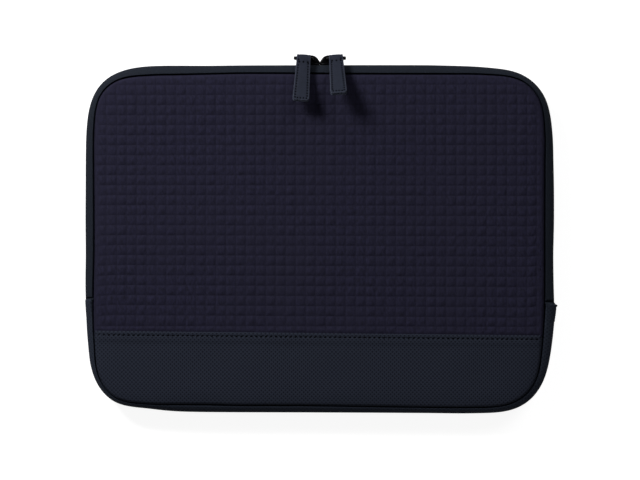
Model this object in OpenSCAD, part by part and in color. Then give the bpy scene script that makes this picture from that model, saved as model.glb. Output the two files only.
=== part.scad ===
// Padded laptop sleeve with a zip round three sides.
//
// The sleeve lies on its back.  X runs across it, Y points to the zipped top
// edge and Z points out of the front face.  The origin is the middle of the
// back face, which rests on the table.
//
// Every wall is drawn from one outline.  A point of a wall is an inset (how far
// it lies inside the outline) and a rise (how far it lies above or below the
// zip's mid plane), and a profile of such points is swept round the outline.

/* [Sleeve] */
// Width over the side walls
body_w = 350; // [320:1:400]
// Height over the top and bottom walls
body_h = 259; // [235:1:290]
// Thickness over the crowned panels
body_t = 24; // [21:0.5:32]
// How far the seams lie behind the panels' crowns
seam_drop = 2.7; // [2:0.1:3.2]
// How far the seams lie inside the outline
seam_inset = 7; // [6:0.1:8]
// Width of the rolled edge of a panel
crown_w = 22; // [14:1:30]

/* [Corners: run along X, run along Y, squareness] */
// Top left corner
corner_tl = [78, 78, 3.9]; // [2.5:0.1:140]
// Top right corner
corner_tr = [80, 94, 3.8]; // [2.5:0.1:140]
// Bottom left corner, which slumps the most
corner_bl = [130, 104, 5.1]; // [2.5:0.1:140]
// Bottom right corner
corner_br = [59, 108, 3.5]; // [2.5:0.1:140]

/* [Front panel] */
// Height of the fold that the flap opens about, above the bottom edge
fold_height = 84.5; // [75:0.5:100]
// Height of the lower panel's folded top edge, above the bottom edge
band_height = 60; // [45:0.5:68]
// Slope of that edge, in degrees
band_slope = 0.6; // [0:0.1:1.2]
// Width of the fold along the lower panel's top edge
band_fold_w = 6; // [4:0.5:12]
// How far that folded edge stands proud of the cloth
band_fold_t = 0.4; // [0.2:0.05:0.6]
// Gap at the fold
fold_gap = 0.4; // [0.3:0.05:0.8]

/* [Cloth and padding] */
// Outer cloth of the panels
skin_t = 1; // [0.8:0.1:1.2]
// Foam in the panels
foam_t = 3; // [2:0.1:4]
// Lining cloth
lining_t = 0.6; // [0.4:0.1:0.8]
// Foam in the lower side wall
wall_foam_t = 1.6; // [1:0.1:2]
// Cloth of the binding on the inner seams
binding_t = 0.4; // [0.3:0.05:0.5]
// Depth of the seam allowance
allowance = 5.8; // [4.5:0.1:6]
// Clearance between layers that are sewn together
layer_gap = 0.05; // [0.03:0.01:0.1]

/* [Zip] */
// Thickness of the zip tape
tape_t = 0.7; // [0.5:0.05:0.8]
// Half of the slit between the two tapes
slit_half = 0.7; // [0.6:0.05:0.8]
// Width of one row of coil
coil_w = 2.3; // [2:0.1:2.4]
// Thickness of one row of coil
coil_t = 2.3; // [2:0.1:2.5]
// Length of a stop at the end of the coil
stop_len = 3; // [2:0.5:5]
// Height of the folded cuffs that cover the zip's ends
cuff_h = 4.5; // [3:0.5:7]
// Thickness of a cuff
cuff_t = 0.9; // [0.6:0.1:1.2]

/* [Slider] */
// Length of a slider
slider_len = 13.4; // [11:0.1:15]
// Half width at the nose
nose_half_w = 4.8; // [4.6:0.1:4.9]
// Half width at the tail
tail_half_w = 4.3; // [4.2:0.1:4.6]
// Thickness of the outer plate
outer_plate_t = 1.4; // [1:0.1:1.6]
// Thickness of the inner plate
inner_plate_t = 1.2; // [1:0.1:1.3]
// Thickness of a rail
rail_t = 1; // [0.7:0.1:1]
// Thickness of the post between the plates
post_t = 0.8; // [0.6:0.05:0.9]
// Length of the post
post_len = 3.6; // [2.5:0.1:4.5]
// Gap between the two sliders when the zip is closed
slider_gap = 1.1; // [0.6:0.1:4]
// Height of the bridge over the outer plate
bridge_h = 5.3; // [4.9:0.1:6]
// Width of the bridge
bridge_w = 2.6; // [2:0.1:3]
// Clearance of the ring's leg in the bridge's eye
eye_gap = 0.4; // [0.3:0.05:0.5]
// Running clearance of the slider on the tape and coil
slide_gap = 0.3; // [0.25:0.05:0.35]

/* [Ring] */
// Thickness of the ring's wire
wire_d = 1.9; // [1.6:0.1:2]
// Distance between the legs of the ring
ring_w = 12.3; // [11.6:0.1:14]
// Distance between the bars of the ring
ring_len = 12.6; // [12.3:0.1:14]
// Radius of the ring's corners
ring_corner_r = 1.2; // [1:0.05:1.4]
// How far the leg in the bridge lies from the slider's middle, to the nose
ring_leg_x = 1.35; // [0:0.05:2]
// How far that leg lies above the outer plate
ring_leg_y = 2.8; // [1.6:0.05:2.9]
// Slope of the ring at rest, in degrees
ring_lift = 3.6; // [0:0.1:6]

/* [Pull] */
// Width of the pull at the ring
pull_top_w = 9.8; // [8.5:0.1:10]
// Width of the pull at its free end
pull_end_w = 12.5; // [10:0.1:15]
// Length from the ring's bar to the free end
pull_len = 35.5; // [20:0.1:45]
// Thickness of the folded and sewn pull
pull_t = 3.5; // [2.6:0.1:4]
// Thickness of one layer of leather
leather_t = 1.45; // [1.1:0.05:1.6]
// Radius of the pull's free corners
pull_corner_r = 2; // [1:0.1:4]
// Slope of the left pull at rest, in degrees
pull_left_tilt = 22.5; // [14:0.5:60]
// Slope of the right pull at rest, in degrees
pull_right_tilt = 37.5; // [14:0.5:60]

/* [Hidden] */
$fn = 48;

cloth_navy = "#26293a";
panel_navy = "#242a35";
foam_grey = "#4a4d55";
lining_blue = "#2c3448";
tape_navy = "#2b303b";
coil_navy = "#1d2029";
metal_black = "#141416";
leather_navy = "#2b2f3c";

corner_steps = 10;              // facets round each corner
crown_steps = 5;                // facets over a panel's rolled edge
wall_steps = 5;                 // facets over half of the side wall
crown_power = 2.5;              // squareness of the rolled edge
crown_crowding = 1.4;           // crowds its facets towards the seam
big = 2 * (body_w + body_h);    // larger than the sleeve
sliver = 0.1;                   // thin slab that a hull ends on
sink = 0.01;                    // depth of the bridge's feet in the outer plate

mid_z = body_t / 2;             // height of the zip's mid plane
crown_rise = body_t / 2;        // rise of the panels' crowns
seam_rise = crown_rise - seam_drop;
flat_half = 5;                  // half of the flat strip that the slider runs on
fold_y = fold_height - body_h / 2;
band_y = band_height - body_h / 2;
allowance_foot = seam_rise - allowance;
lining_rise = crown_rise - skin_t - foam_t - 2 * layer_gap;
foam_setback = 1.7;             // from the seam to a panel's foam and lining
panel_edge = seam_inset + foam_setback;
binding_h = 3.6;                // height of a binding round its seam allowance
turn_ease = 0.2;                // extra thickness where a tape turns into a seam

// ---- outline ---------------------------------------------------------------

// One corner as points with outward normals, as seen in the first quadrant.
function corner_point(c, a) = [
    c[0] * pow(cos(a), 2 / c[2]) - c[0],
    c[1] * pow(sin(a), 2 / c[2]) - c[1]
];
function corner_normal(c, a) =
    let (v = [
        pow(cos(a), 2 - 2 / c[2]) / c[0],
        pow(sin(a), 2 - 2 / c[2]) / c[1]
    ])
    v / norm(v);

// Moves a first-quadrant corner to the quadrant given by the signs sx and sy.
function corner_stations(c, sx, sy) = [
    for (k = [0 : corner_steps])
        let (
            a = 90 * (sx * sy > 0 ? k : corner_steps - k) / corner_steps,
            p = corner_point(c, a),
            n = corner_normal(c, a)
        )
        [[sx * (body_w / 2 + p[0]), sy * (body_h / 2 + p[1])], [sx * n[0], sy * n[1]]]
];

// The whole outline, counterclockwise, as [point, outward normal] pairs.
stations = concat(
    corner_stations(corner_tr, 1, 1),
    corner_stations(corner_tl, -1, 1),
    corner_stations(corner_bl, -1, -1),
    corner_stations(corner_br, 1, -1)
);
function inset_outline(inset) = [for (s = stations) s[0] - inset * s[1]];

// ---- solids drawn from the outline -------------------------------------------

// Points of a profile of [inset, rise] pairs, swept round the outline.
function swept_points(profile, side) = [
    for (s = stations) for (q = profile)
        let (p = s[0] - q[0] * s[1]) [p[0], p[1], mid_z + side * q[1]]
];
function wall_faces(count, rows, closed) = [
    for (i = [0 : count - 1])
        for (j = [0 : closed ? rows - 1 : rows - 2])
            let (
                a = i * rows + j,
                b = (i + 1) % count * rows + j,
                c = (i + 1) % count * rows + (j + 1) % rows,
                d = i * rows + (j + 1) % rows
            )
            each [[a, d, c], [a, c, b]]
];

// A closed profile swept round the outline.  Its outer side runs upwards.
// Side 1 is the front half of the sleeve and side -1 the back half.
module swept_wall(profile, side = 1) {
    rows = len(profile);
    ordered = side > 0 ? profile : [for (j = [rows - 1 : -1 : 0]) profile[j]];
    polyhedron(swept_points(ordered, side), wall_faces(len(stations), rows, true), convexity = 6);
}

// A panel: an open profile from the middle of the inner face round the edge to
// the middle of the outer face, closed by two flat faces.
module panel(profile, side = 1) {
    rows = len(profile);
    count = len(stations);
    ordered = side > 0 ? profile : [for (j = [rows - 1 : -1 : 0]) profile[j]];
    polyhedron(
        swept_points(ordered, side),
        concat(
            wall_faces(count, rows, false),
            [[for (i = [0 : count - 1]) i * rows]],
            [[for (i = [count - 1 : -1 : 0]) i * rows + rows - 1]]
        ),
        convexity = 6
    );
}

// Half spaces on either side of a line across the sleeve.
module above(y, slope = 0) {
    translate([0, y, 0]) rotate([0, 0, slope]) translate([-big / 2, 0, -big / 2]) cube([big, big, big]);
}
module below(y, slope = 0) {
    translate([0, y, 0]) rotate([0, 0, slope]) translate([-big / 2, -big, -big / 2]) cube([big, big, big]);
}
module flap_part() {
    intersection() {
        children();
        above(fold_y + fold_gap / 2);
    }
}
module base_part() {
    intersection() {
        children();
        below(fold_y - fold_gap / 2);
    }
}

// ---- profiles ----------------------------------------------------------------

// Rolled edge of a panel's outer cloth, from the seam inwards.
crown_angles = [for (k = [0 : crown_steps]) 90 * pow(k / crown_steps, crown_crowding)];
function crown_inset(a) = seam_inset + crown_w * (1 - pow(cos(a), 2 / crown_power));
function crown_height(inset) =
    let (u = min(1, max(0, (inset - seam_inset) / crown_w)))
    seam_rise + seam_drop * pow(1 - pow(1 - u, crown_power), 1 / crown_power);
function crown_line(from, lift) = [
    for (a = crown_angles)
        let (d = crown_inset(a)) if (d > from) [d, crown_height(d) + lift]
];
function reversed(list) = [for (k = [len(list) - 1 : -1 : 0]) list[k]];

// Side wall, from its flat middle up towards the seam, at a depth inside its face
// and as far as a limit of inset.
function wall_line(depth, limit = seam_inset) = [
    for (k = [0 : wall_steps - 1])
        let (
            a = 90 * k / wall_steps,
            inset = seam_inset - (seam_inset - depth) * cos(a),
            rise = flat_half + (seam_rise - flat_half - depth) * sin(a)
        )
        if (inset < limit) [inset, rise]
];

allowance_t = 0.6 * skin_t;                     // cloth pressed thin in a seam
allowance_in = seam_inset + layer_gap;          // panel's allowance, outer face
allowance_out = allowance_in + allowance_t;     // and inner face
function skin_profile(lift) = concat(
    reversed(crown_line(seam_inset + skin_t, -skin_t)),
    [
        [seam_inset + skin_t, crown_height(seam_inset + skin_t) - skin_t],
        [allowance_out, seam_rise - skin_t],
        [allowance_out, allowance_foot],
        [allowance_in, allowance_foot],
        [allowance_in, seam_rise]
    ],
    crown_line(seam_inset + layer_gap, lift)
);
foam_profile = concat(
    [
        [panel_edge, crown_rise - skin_t - foam_t - layer_gap],
        [panel_edge, crown_height(panel_edge) - skin_t - layer_gap]
    ],
    crown_line(panel_edge, -skin_t - layer_gap)
);
tape_profile = concat(
    [[0, slit_half]],
    wall_line(0),
    [
        [seam_inset, seam_rise],
        [seam_inset, allowance_foot],
        [seam_inset - tape_t, allowance_foot],
        [seam_inset - tape_t, seam_rise - tape_t - turn_ease]
    ],
    reversed(wall_line(tape_t)),
    [[tape_t, slit_half]]
);
binding_top = allowance_foot + binding_h;
binding_in = seam_inset - tape_t - layer_gap - binding_t;
binding_profile = [
    [binding_in, allowance_foot - layer_gap - binding_t],
    [binding_in, binding_top],
    [seam_inset - tape_t - layer_gap, binding_top],
    [seam_inset - tape_t - layer_gap, allowance_foot - layer_gap],
    [allowance_out + layer_gap, allowance_foot - layer_gap],
    [allowance_out + layer_gap, binding_top],
    [allowance_out + layer_gap + binding_t, binding_top],
    [allowance_out + layer_gap + binding_t, allowance_foot - layer_gap - binding_t]
];
coil_in = tape_t + layer_gap;
coil_bevel = 0.6;
coil_profile = [
    [coil_in, slit_half + coil_bevel],
    [coil_in, slit_half + coil_w - coil_bevel],
    [coil_in + coil_bevel, slit_half + coil_w],
    [coil_in + coil_t - coil_bevel, slit_half + coil_w],
    [coil_in + coil_t, slit_half + coil_w - coil_bevel],
    [coil_in + coil_t, slit_half + coil_bevel],
    [coil_in + coil_t - coil_bevel, slit_half],
    [coil_in + coil_bevel, slit_half]
];

// Both halves of a layer of the lower side wall, between two depths.
function mirrored(line) = [for (q = reversed(line)) [q[0], -q[1]]];
function wall_layer(outer, inner) = concat(
    mirrored(wall_line(outer, binding_in)), wall_line(outer, binding_in),
    reversed(wall_line(inner, binding_in)), reversed(mirrored(wall_line(inner, binding_in)))
);
lower_wall_profile = concat(
    [[seam_inset, -allowance_foot], [seam_inset, -seam_rise]],
    mirrored(wall_line(0)), wall_line(0),
    [
        [seam_inset, seam_rise],
        [seam_inset, allowance_foot],
        [seam_inset - tape_t, allowance_foot],
        [seam_inset - tape_t, seam_rise - tape_t - turn_ease]
    ],
    reversed(wall_line(tape_t)), reversed(mirrored(wall_line(tape_t))),
    [
        [seam_inset - tape_t, -(seam_rise - tape_t - turn_ease)],
        [seam_inset - tape_t, -allowance_foot]
    ]
);

// ---- panels -------------------------------------------------------------------

module back_skin() {
    color(panel_navy) panel(skin_profile(0), -1);
}
module back_foam() {
    color(foam_grey) panel(foam_profile, -1);
}
module lining_sheet(side) {
    translate([0, 0, mid_z + side * (lining_rise - lining_t / 2) - lining_t / 2])
        linear_extrude(lining_t) polygon(inset_outline(panel_edge));
}
module back_lining() {
    color(lining_blue) lining_sheet(-1);
}
module front_skin_flap() {
    color(cloth_navy) flap_part() panel(skin_profile(0));
}
module front_skin_base() {
    color(cloth_navy) intersection() {
        base_part() panel(skin_profile(0));
        above(band_y + layer_gap, -band_slope);
    }
}
module lower_panel() {
    color(panel_navy) {
        intersection() {
            panel(skin_profile(0));
            below(band_y, -band_slope);
        }
        intersection() {
            panel(skin_profile(band_fold_t));
            below(band_y, -band_slope);
            above(band_y - band_fold_w, -band_slope);
        }
    }
}
module front_foam_flap() {
    color(foam_grey) flap_part() panel(foam_profile);
}
module front_foam_base() {
    color(foam_grey) base_part() panel(foam_profile);
}
module front_lining_flap() {
    color(lining_blue) flap_part() lining_sheet(1);
}
module front_lining_base() {
    color(lining_blue) base_part() lining_sheet(1);
}

// ---- lower side wall -------------------------------------------------------------

module lower_wall() {
    color(panel_navy) base_part() swept_wall(lower_wall_profile);
}
module lower_wall_foam() {
    color(foam_grey) base_part()
        swept_wall(wall_layer(tape_t + layer_gap, tape_t + layer_gap + wall_foam_t));
}
module lower_wall_lining() {
    depth = tape_t + wall_foam_t + 2 * layer_gap;
    color(lining_blue) base_part() swept_wall(wall_layer(depth, depth + lining_t));
}
module zip_end_cuffs() {
    color(panel_navy) intersection() {
        swept_wall(wall_layer(-layer_gap - cuff_t, -layer_gap));
        below(fold_y - fold_gap / 2);
        above(fold_y - fold_gap / 2 - cuff_h);
    }
}

// ---- zip ---------------------------------------------------------------------------

module zip_tape_front() {
    color(tape_navy) flap_part() swept_wall(tape_profile);
}
module zip_tape_rear() {
    color(tape_navy) flap_part() swept_wall(tape_profile, -1);
}
module zip_coil_front() {
    color(coil_navy) intersection() {
        swept_wall(coil_profile);
        above(fold_y + fold_gap / 2 + stop_len);
    }
}
module zip_coil_rear() {
    color(coil_navy) intersection() {
        swept_wall(coil_profile, -1);
        above(fold_y + fold_gap / 2 + stop_len);
    }
}
module stops(side) {
    intersection() {
        swept_wall(coil_profile, side);
        above(fold_y + fold_gap / 2);
        below(fold_y + fold_gap / 2 + stop_len - layer_gap);
    }
}
module zip_stops_front() {
    color(metal_black) stops(1);
}
module zip_stops_rear() {
    color(metal_black) stops(-1);
}

// ---- bindings ------------------------------------------------------------------------

module binding_flap() {
    color(lining_blue) flap_part() swept_wall(binding_profile);
}
module binding_base() {
    color(lining_blue) base_part() swept_wall(binding_profile);
}
module binding_rear() {
    color(lining_blue) swept_wall(binding_profile, -1);
}

// ---- sliders, rings and pulls ----------------------------------------------------------

top_y = body_h / 2;                             // outer face of the tape on the top edge
plate_y = top_y + slide_gap + outer_plate_t;    // outer face of the outer plate
slider_x = (slider_gap + slider_len) / 2;       // middle of each slider
leg_x = slider_x - ring_leg_x;                  // leg of the ring in the bridge
leg_y = plate_y + ring_leg_y;
bar_reach = bridge_w / 2 + slide_gap + wire_d / 2 + layer_gap;  // rear bar, behind the bridge
bar_z = mid_z - bar_reach + ring_len;           // front bar, which carries the pull
bore_r = wire_d / 2 + slide_gap;
loop_r = bore_r + leather_t;
loop_taper = 2.6 * loop_r;                      // from the bar to where a pull is flat

plate_bevel = 0.5;
nose_setback = 0.6;                             // from a plate's nose to the post

// Outline of a slider's plate.  Its nose points to +X and its width lies on Y.
module plate_outline(shrink = 0) {
    nose_r = 2.2;
    tail_r = 1.6;
    hull() for (s = [-1, 1]) {
        translate([slider_len / 2 - nose_r, s * (nose_half_w - nose_r)]) circle(nose_r - shrink);
        translate([tail_r - slider_len / 2, s * (tail_half_w - tail_r)]) circle(tail_r - shrink);
    }
}

// A slider with its middle at the origin, its nose to +X and its outer side to +Z.
// The zip's outer face is the plane Z = 0.
module slider_body() {
    inner_top = -(coil_in + coil_t + slide_gap);    // inner plate's face to the coil
    rail_y = slit_half + coil_w + slide_gap;        // rail's face to the coil
    rail_top = -(tape_t + slide_gap);
    step = outer_plate_t / 3;
    translate([0, 0, slide_gap]) linear_extrude(outer_plate_t - step) plate_outline();
    translate([0, 0, slide_gap + outer_plate_t - step]) linear_extrude(step) plate_outline(plate_bevel);
    translate([0, 0, inner_top - inner_plate_t]) linear_extrude(inner_plate_t) plate_outline();
    intersection() {
        for (s = [-1, 1])
            translate([-slider_len / 2, s > 0 ? rail_y : -rail_y - rail_t, inner_top])
                cube([slider_len, rail_t, rail_top - inner_top]);
        translate([0, 0, inner_top - 1]) linear_extrude(big) plate_outline();
    }
    translate([slider_len / 2 - post_len - nose_setback, 0, inner_top])
        linear_extrude(slide_gap - inner_top) post_outline();
    translate([0, bridge_w / 2, slide_gap + outer_plate_t]) rotate([90, 0, 0])
        linear_extrude(bridge_w) bridge_outline();
}
module post_outline() {
    polygon([
        [0, 0], [post_len / 3, -post_t / 2], [post_len, -post_t / 2],
        [post_len, post_t / 2], [post_len / 3, post_t / 2]
    ]);
}
module bridge_outline() {
    span = slider_len / 2;
    difference() {
        intersection() {
            scale([1, bridge_h / span]) circle(span);
            translate([-span, -sink]) square([2 * span, 2 * bridge_h]);
        }
        translate([ring_leg_x, ring_leg_y]) circle(wire_d / 2 + eye_gap);
    }
}

// A ring of bent wire in the XY plane, its bridge leg on the line X = 0 and its
// body to -X.  The rear bar is at Y = -bar_reach and the front bar carries the pull.
module wire_ring() {
    r = ring_corner_r;
    low = -bar_reach;
    high = ring_len - bar_reach;
    for (x = [-ring_w, 0])
        translate([x, low + r, 0]) rotate([-90, 0, 0]) cylinder(d = wire_d, h = ring_len - 2 * r);
    for (y = [low, high])
        translate([r - ring_w, y, 0]) rotate([0, 90, 0]) cylinder(d = wire_d, h = ring_w - 2 * r);
    for (c = [[-r, high - r, 0], [r - ring_w, high - r, 90], [r - ring_w, low + r, 180], [-r, low + r, 270]])
        translate([c[0], c[1], 0]) rotate([0, 0, c[2]])
            rotate_extrude(angle = 90) translate([r, 0]) circle(d = wire_d);
}

// A folded leather strip.  The ring's bar lies on the X axis and the strip hangs to -Y.
module leather_strip() {
    difference() {
        intersection() {
            rotate([90, 0, 90]) translate([0, 0, -pull_end_w]) linear_extrude(2 * pull_end_w)
                strip_side();
            translate([0, 0, -loop_r - 1]) linear_extrude(2 * loop_r + 2) strip_front();
        }
        rotate([0, 90, 0]) cylinder(r = bore_r, h = 2 * pull_end_w, center = true);
    }
}
module strip_side() {
    hull() {
        circle(loop_r);
        translate([-loop_taper, -pull_t / 2]) square([sliver, pull_t]);
    }
    translate([-pull_len, -pull_t / 2]) square([pull_len - loop_taper + sliver, pull_t]);
}
module strip_front() {
    hull() {
        translate([-pull_top_w / 2, loop_r - sliver]) square([pull_top_w, sliver]);
        for (s = [-1, 1])
            translate([s * (pull_end_w / 2 - pull_corner_r), pull_corner_r - pull_len])
                circle(pull_corner_r);
    }
}

module slider() {
    translate([-slider_x, top_y, mid_z]) rotate([-90, 0, 0]) slider_body();
}
module ring() {
    translate([-leg_x, leg_y, mid_z]) rotate([0, 0, -ring_lift]) rotate([90, 0, 0])
        mirror([0, 0, 1]) wire_ring();
}
module pull(tilt) {
    translate([-leg_x, leg_y, bar_z]) rotate([0, 0, -ring_lift]) translate([-ring_w / 2, 0, 0])
        rotate([-tilt, 0, 0]) leather_strip();
}

module slider_left() {
    color(metal_black) slider();
}
module slider_right() {
    color(metal_black) mirror([1, 0, 0]) slider();
}
module ring_left() {
    color(metal_black) ring();
}
module ring_right() {
    color(metal_black) mirror([1, 0, 0]) ring();
}
module pull_left() {
    color(leather_navy) pull(pull_left_tilt);
}
module pull_right() {
    color(leather_navy) mirror([1, 0, 0]) pull(pull_right_tilt);
}

back_skin();
back_foam();
back_lining();
front_skin_flap();
front_skin_base();
lower_panel();
front_foam_flap();
front_foam_base();
front_lining_flap();
front_lining_base();
lower_wall();
lower_wall_foam();
lower_wall_lining();
zip_end_cuffs();
zip_tape_front();
zip_tape_rear();
zip_coil_front();
zip_coil_rear();
zip_stops_front();
zip_stops_rear();
binding_flap();
binding_base();
binding_rear();
slider_left();
slider_right();
ring_left();
ring_right();
pull_left();
pull_right();
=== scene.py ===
"""Padded laptop sleeve, lying on its back: zip round three sides, a front that folds
open, two sliders on the top edge with rings and leather pulls.

Lengths are in millimetres while a piece is shaped.  X runs across the sleeve, Y to
the zipped top edge and Z out of the front.
"""

import math

import bmesh
import bpy
import numpy as np
from mathutils import Matrix, Vector
from mathutils.kdtree import KDTree


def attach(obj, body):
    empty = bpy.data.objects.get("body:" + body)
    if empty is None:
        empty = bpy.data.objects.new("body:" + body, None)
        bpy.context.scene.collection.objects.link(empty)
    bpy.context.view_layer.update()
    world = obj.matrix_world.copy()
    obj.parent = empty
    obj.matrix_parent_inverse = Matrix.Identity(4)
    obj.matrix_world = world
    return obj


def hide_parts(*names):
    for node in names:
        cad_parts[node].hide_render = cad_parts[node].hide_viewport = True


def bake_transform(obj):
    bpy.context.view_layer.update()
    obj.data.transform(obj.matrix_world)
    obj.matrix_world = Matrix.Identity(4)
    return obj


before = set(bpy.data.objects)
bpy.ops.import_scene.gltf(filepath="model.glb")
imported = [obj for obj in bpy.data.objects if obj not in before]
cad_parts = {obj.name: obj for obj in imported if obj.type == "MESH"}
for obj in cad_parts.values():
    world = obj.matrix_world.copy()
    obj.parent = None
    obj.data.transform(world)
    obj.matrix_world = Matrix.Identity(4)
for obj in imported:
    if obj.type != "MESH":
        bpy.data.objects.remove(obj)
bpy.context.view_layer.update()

MM = 0.001
BODY_W, BODY_H, MID_Z = 350.0, 259.0, 12.0  # the sleeve, and its mid plane's height
SEAM_IN, SEAM_RISE = 7.0, 9.3   # seams from the outline, and from the mid plane
SEAM_DROP, CROWN_W, CROWN_POWER = 2.7, 22.0, 2.5    # how a panel swells beside its seam
FLAT_HALF, SLIT_HALF = 5.0, 0.7     # of the side wall, and of the slit between the tapes
FOLD_Y = -45.0                  # where the flap turns
BAND_Y, BAND_SLOPE = -70.1, -math.tan(math.radians(0.6))    # upper edge of the lower panel
STITCH_DROP = 2.8               # its topstitching, below that edge
ALLOWANCE_FOOT = 3.5            # rise of the seam allowances' cut edges
TAPE_T = 0.7                    # thickness of the zip's tape
PITCH_X, PITCH_Y = 7.449, 7.479     # embossed cells
LINE_X, LINE_Y = -3.0, 2.54     # one groove of each direction

ZIP_HALVES = (1, "front", "fold"), (-1, "rear", "back_shell")     # side, name, body

CORNERS = [                     # run along X, run along Y, squareness, signs
    (80, 94, 3.8, 1, 1), (78, 78, 3.9, -1, 1), (130, 104, 5.1, -1, -1), (59, 108, 3.5, 1, -1)
]
# How the soft sleeve departs from that outline.  Each row is a place on the outline, in
# 48ths of it from the foot of the top right corner over the top, how far the edge bulges
# out there, and how far in from the edge the front seam lies.
SLUMP = [
    (0, -0.3, 7.4), (1, -0.7, 6.8), (2, -0.3, 5.9), (3, 0.8, 4.6), (4, 0.05, 4.6),
    (5, -1.2, 5.6), (6, -0.5, 6.5), (7, 0.1, 7.1), (9, 0.15, 7.1), (12, 0.0, 6.4),
    (13, -0.1, 6.3), (14, -0.4, 6.6), (15, -0.3, 7.3), (16, -0.2, 7.4), (17, -0.3, 5.6),
    (18, -0.3, 5.0), (19, -0.45, 5.95), (20, -0.3, 6.4), (22, -0.1, 6.9), (23, -0.3, 6.7),
    (24, 0.0, 6.4), (25, -0.6, 5.6), (26, -1.3, 5.1), (27, -0.2, 3.7), (28, 1.75, 3.0),
    (29, -0.9, 3.3), (30, -0.3, 5.4), (31, -0.2, 5.7), (32, -0.1, 5.2), (34, 0.0, 5.3),
    (36, 0.2, 4.8), (38, 0.5, 4.4), (39, 0.8, 4.5), (40, 0.4, 4.5), (41, -0.2, 5.2),
    (42, 0.35, 5.9), (43, -0.1, 7.5), (44, 0.4, 8.3), (45, -0.6, 7.1), (46, -0.9, 6.8),
    (47, -0.3, 7.4), (48, -0.3, 7.4),
]


# ---- outline ----

def unit(rows):
    return rows / np.linalg.norm(rows, axis=1, keepdims=True)


def rounded_corner(run_x, run_y, power, sign_x, sign_y):
    angle = np.linspace(0, math.pi / 2, 241)
    if sign_x * sign_y < 0:
        angle = angle[::-1]
    c, s = np.clip(np.cos(angle), 0, 1), np.clip(np.sin(angle), 0, 1)
    point = np.stack([sign_x * (BODY_W / 2 + run_x * (c ** (2 / power) - 1)),
                      sign_y * (BODY_H / 2 + run_y * (s ** (2 / power) - 1))], 1)
    out = np.stack([sign_x * c ** (2 - 2 / power) / run_x,
                    sign_y * s ** (2 - 2 / power) / run_y], 1)
    return np.hstack([point, unit(out)])


def run_of(line):
    """How far along a line each of its points lies."""
    steps = np.linalg.norm(np.diff(line[:, :2], axis=0), axis=1)
    return np.concatenate([[0], np.cumsum(steps)])


def evenly(line, spacing):
    """A line of points with normals, set out again at an even spacing."""
    length = run_of(line)
    at = np.linspace(0, length[-1], max(2, round(length[-1] / spacing) + 1))
    even = np.stack([np.interp(at, length, column) for column in line.T], 1)
    even[:, 2:4] = unit(even[:, 2:4])
    return even


def slumped(line):
    """The outline as the soft sleeve has it, with the front seam's shift as a fifth column."""
    place, bulge, band = np.array(SLUMP).T
    at = np.linspace(0, 48, len(line))
    window = np.hanning(47)
    window /= window.sum()
    bulge, band = (np.convolve(np.pad(np.interp(at[:-1], place, row), 23, mode="wrap"),
                               window, mode="valid") for row in (bulge, band))
    points = line[:-1, :2] + bulge[:, None] * line[:-1, 2:]
    way = np.roll(points, -1, axis=0) - np.roll(points, 1, axis=0)
    out = unit(np.stack([way[:, 1], -way[:, 0]], 1))
    closed = np.hstack([points, out, (band - SEAM_IN)[:, None]])
    return np.vstack([closed, closed[:1]])


whole = np.vstack([rounded_corner(*corner) for corner in CORNERS])
EDGE = slumped(evenly(np.vstack([whole, whole[:1]]), 0.5))
edge_tree = KDTree(len(EDGE))
for index, (x, y, *_) in enumerate(EDGE):
    edge_tree.insert((x, y, 0), index)
edge_tree.balance()


def seam_share(rise):
    """How much of the front seam's shift reaches a height: all at the seam, none low down."""
    return ease(rise, 3.0, 8.0)


def inset_of(places, side=0):
    """How far each place lies inside the even seam's outline, or the front's with side 1,
    and the outline point next to it."""
    near = np.array([edge_tree.find((x, y, 0))[1] for x, y in places])
    gaps = ((EDGE[near, :2] - places) * EDGE[near, 2:4]).sum(1)
    return (gaps - EDGE[near, 4] if side > 0 else gaps), near


def inside_edge(near, inset, side=0, rise=SEAM_RISE):
    """The place at an inset from an outline point."""
    if side > 0:
        inset = inset + seam_share(rise) * EDGE[near, 4]
    return EDGE[near, :2] - inset * EDGE[near, 2:4]


def edge_between(low, high, spacing):
    """The one stretch of the outline that lies between two heights."""
    inside = (EDGE[:-1, 1] >= low) & (EDGE[:-1, 1] <= high)
    start = next(k for k in range(len(inside)) if inside[k] and not inside[k - 1])
    rolled = np.roll(EDGE[:-1], -start, axis=0)[: inside.sum()].copy()
    for end in (0, -1):
        rolled[end, 1] = low if abs(rolled[end, 1] - low) < 1 else high
    return evenly(rolled, spacing)


# ---- making sheets ----

def ease(value, low, high):
    t = np.clip((value - low) / (high - low), 0, 1)
    return t * t * (3 - 2 * t)


def quarter_round(away, radius):
    """Share of the full height at a distance from a rounded edge."""
    return np.sqrt(np.clip(1 - (1 - np.clip(away / radius, 0, 1)) ** 2, 0, 1))


def waviness(x, y, size, seed):
    """Slow, even unevenness of cloth, about -1 to 1."""
    draw = np.random.default_rng(seed)
    total = 0
    for _ in range(7):
        turn, phase = draw.uniform(0, 2 * math.pi, 2)
        stretch = draw.uniform(0.6, 1.7) * 2 * math.pi / size
        total = total + np.sin((x * math.cos(turn) + y * math.sin(turn)) * stretch + phase)
    return total / 3.5


def grid(columns, rows):
    """A sheet of a grid, its UV map still empty, and its vertices with column and row."""
    sheet = bmesh.new()
    sheet.loops.layers.uv.new("UVMap")
    bmesh.ops.create_grid(sheet, x_segments=columns - 1, y_segments=rows - 1, size=0.5)
    return sheet, [(v, round((v.co.x + 0.5) * (columns - 1)), round((v.co.y + 0.5) * (rows - 1)))
                   for v in sheet.verts]


def mapped(sheet, place):
    """Fills a UV map with the place in metres that a function gives for each vertex."""
    uv = sheet.loops.layers.uv["UVMap"]
    for face in sheet.faces:
        for loop in face.loops:
            loop[uv].uv = place(loop.vert)


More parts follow.
